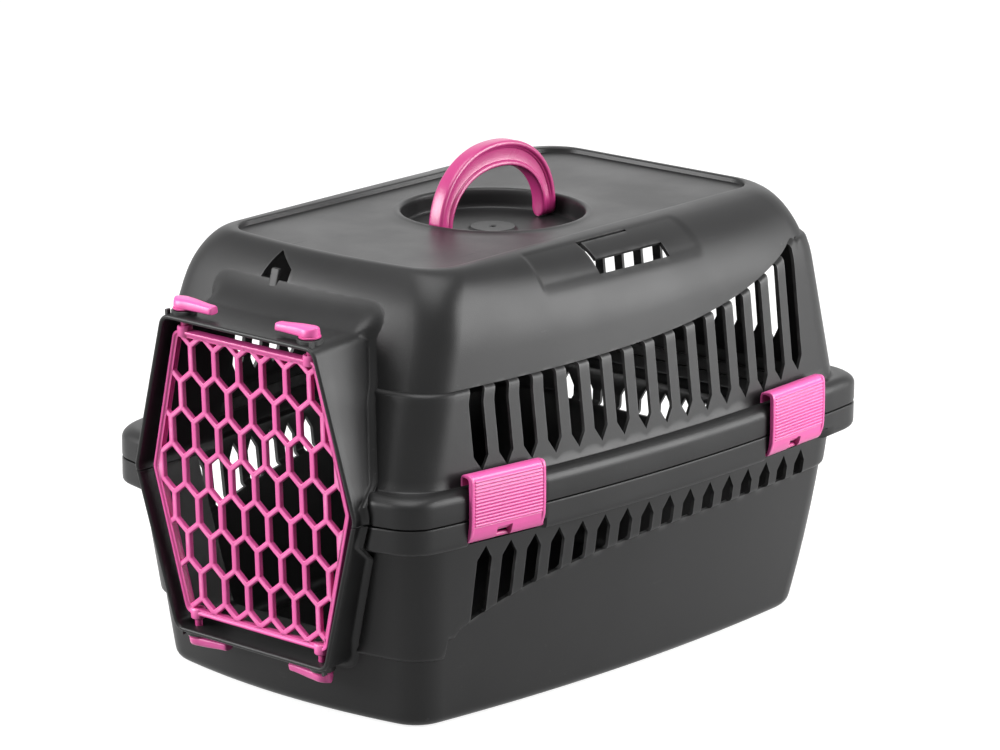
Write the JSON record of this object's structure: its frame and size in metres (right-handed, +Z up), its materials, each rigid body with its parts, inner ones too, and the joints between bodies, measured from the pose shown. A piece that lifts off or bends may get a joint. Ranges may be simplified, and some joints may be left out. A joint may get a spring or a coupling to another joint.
{
  "type": "pet carrier",
  "caption": "Hard two-part pet carrier with a leaning grille door in a six-sided collar, turning door latches, side clips, slotted side walls and a folding top handle.",
  "frame": {"origin": "middle of the bounding box on the surface that the carrier stands on", "axes": "+Z up, the door faces -Y, +Y runs to the rear wall along the length, +X across the width to the right seen from the door"},
  "size_m": [0.3274, 0.453, 0.3268],
  "materials": {
    "shell_plastic": "fine moulded grain",
    "accent_plastic": "satin",
    "handle_plastic": "satin"
  },
  "bodies": {
    "base": {"base_shell": "shell_plastic"},
    "upper": {"upper_shell": "shell_plastic"},
    "door": {"door": "accent_plastic"},
    "latch_top_left": {"latch_top_left": "accent_plastic"},
    "latch_top_right": {"latch_top_right": "accent_plastic"},
    "latch_bottom_left": {"latch_bottom_left": "accent_plastic"},
    "latch_bottom_right": {"latch_bottom_right": "accent_plastic"},
    "clip_front_right": {"clip_front_right": "accent_plastic"},
    "clip_rear_right": {"clip_rear_right": "accent_plastic"},
    "clip_front_left": {"clip_front_left": "accent_plastic"},
    "clip_rear_left": {"clip_rear_left": "accent_plastic"},
    "handle": {"carry_handle": "handle_plastic"}
  },
  "joints": [
    {"name": "upper_lift", "type": "slide", "parent": "base", "child": "upper", "axis": [0, 0, 1], "range_m": [0, 0.25]},
    {"name": "door_swing", "type": "hinge", "parent": "base", "child": "door", "pos_m": [-0.053, -0.21122, 0.14268], "axis": [0, 0.0489, -0.9988], "range_deg": [0, 110]},
    {"name": "latch_top_left_turn", "type": "hinge", "parent": "upper", "child": "latch_top_left", "pos_m": [-0.053, -0.2165, 0.25055], "axis": [0, 0.0489, -0.9988], "range_deg": [0, 90]},
    {"name": "latch_top_right_turn", "type": "hinge", "parent": "upper", "child": "latch_top_right", "pos_m": [0.053, -0.2165, 0.25055], "axis": [0, -0.0489, 0.9988], "range_deg": [0, 90]},
    {"name": "latch_bottom_left_turn", "type": "hinge", "parent": "base", "child": "latch_bottom_left", "pos_m": [-0.053, -0.20595, 0.03481], "axis": [0, 0.0489, -0.9988], "range_deg": [0, 90]},
    {"name": "latch_bottom_right_turn", "type": "hinge", "parent": "base", "child": "latch_bottom_right", "pos_m": [0.053, -0.20595, 0.03481], "axis": [0, -0.0489, 0.9988], "range_deg": [0, 90]},
    {"name": "clip_front_right_turn", "type": "hinge", "parent": "base", "child": "clip_front_right", "pos_m": [0.13707, -0.1344, 0.125], "axis": [0.1665, 0.986, 0], "range_deg": [0, 95]},
    {"name": "clip_rear_right_turn", "type": "hinge", "parent": "base", "child": "clip_rear_right", "pos_m": [0.15569, 0.13838, 0.125], "axis": [-0.0324, 0.9995, 0], "range_deg": [0, 95]},
    {"name": "clip_front_left_turn", "type": "hinge", "parent": "base", "child": "clip_front_left", "pos_m": [-0.13707, -0.1344, 0.125], "axis": [0.1665, -0.986, 0], "range_deg": [0, 95]},
    {"name": "clip_rear_left_turn", "type": "hinge", "parent": "base", "child": "clip_rear_left", "pos_m": [-0.15569, 0.13838, 0.125], "axis": [-0.0324, -0.9995, 0], "range_deg": [0, 95]},
    {"name": "handle_fold", "type": "hinge", "parent": "upper", "child": "handle", "pos_m": [0, 0.0175, 0.27425], "axis": [0, 1, 0], "range_deg": [-88, 88]}
  ]
}
